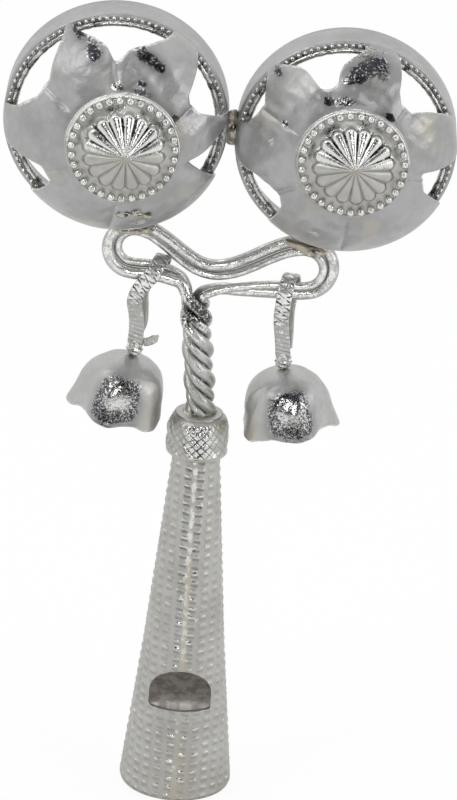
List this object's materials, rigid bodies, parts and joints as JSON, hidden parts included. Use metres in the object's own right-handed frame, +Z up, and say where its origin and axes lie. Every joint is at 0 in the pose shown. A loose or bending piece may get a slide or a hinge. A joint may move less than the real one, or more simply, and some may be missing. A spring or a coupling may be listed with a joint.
{
  "type": "baby rattle",
  "caption": "Metal baby rattle with a hollow whistle handle, a twisted wire stem and bow, round flower heads and small dome bells hung on straps.",
  "frame": {"origin": "centre of the flat wide end of the handle", "axes": "+Z up along the handle towards the heads, -Y the side with the flowers and the whistle window, +X to the right as seen from that side"},
  "size_m": [0.0619, 0.0241, 0.1163],
  "materials": {
    "satin_silver": "satin polished silver sheet",
    "bright_silver": "bright polished silver wire and strip",
    "beaded_silver": "pressed and beaded bright silver",
    "dull_silver": "dull unpolished silver",
    "solder": "dull yellowish solder"
  },
  "bodies": {
    "rattle": {"handle_cone": "satin_silver", "whistle_plug": "dull_silver", "collar": "satin_silver", "bow_wire_outer": "bright_silver", "bow_wire_inner": "bright_silver", "left_head_hoop": "satin_silver", "left_head_rim": "beaded_silver", "left_head_flower": "satin_silver", "left_head_boss": "beaded_silver", "right_head_hoop": "satin_silver", "right_head_rim": "beaded_silver", "right_head_flower": "satin_silver", "right_head_boss": "beaded_silver", "heads_solder": "solder", "left_seat_solder": "solder", "right_seat_solder": "solder"},
    "left_bell_hanger": {"left_strap": "bright_silver", "left_knot": "bright_silver", "left_bell": "satin_silver"},
    "right_bell_hanger": {"right_strap": "bright_silver", "right_knot": "bright_silver", "right_bell": "satin_silver"}
  },
  "joints": [
    {"name": "left_bell_swing", "type": "hinge", "parent": "rattle", "child": "left_bell_hanger", "pos_m": [-0.0082, 0, 0.07814], "axis": [0.9934, 0, -0.1146], "range_deg": [-75, 75]},
    {"name": "right_bell_swing", "type": "hinge", "parent": "rattle", "child": "right_bell_hanger", "pos_m": [0.011, 0, 0.07661], "axis": [0.9998, 0, 0.0181], "range_deg": [-75, 75]}
  ]
}
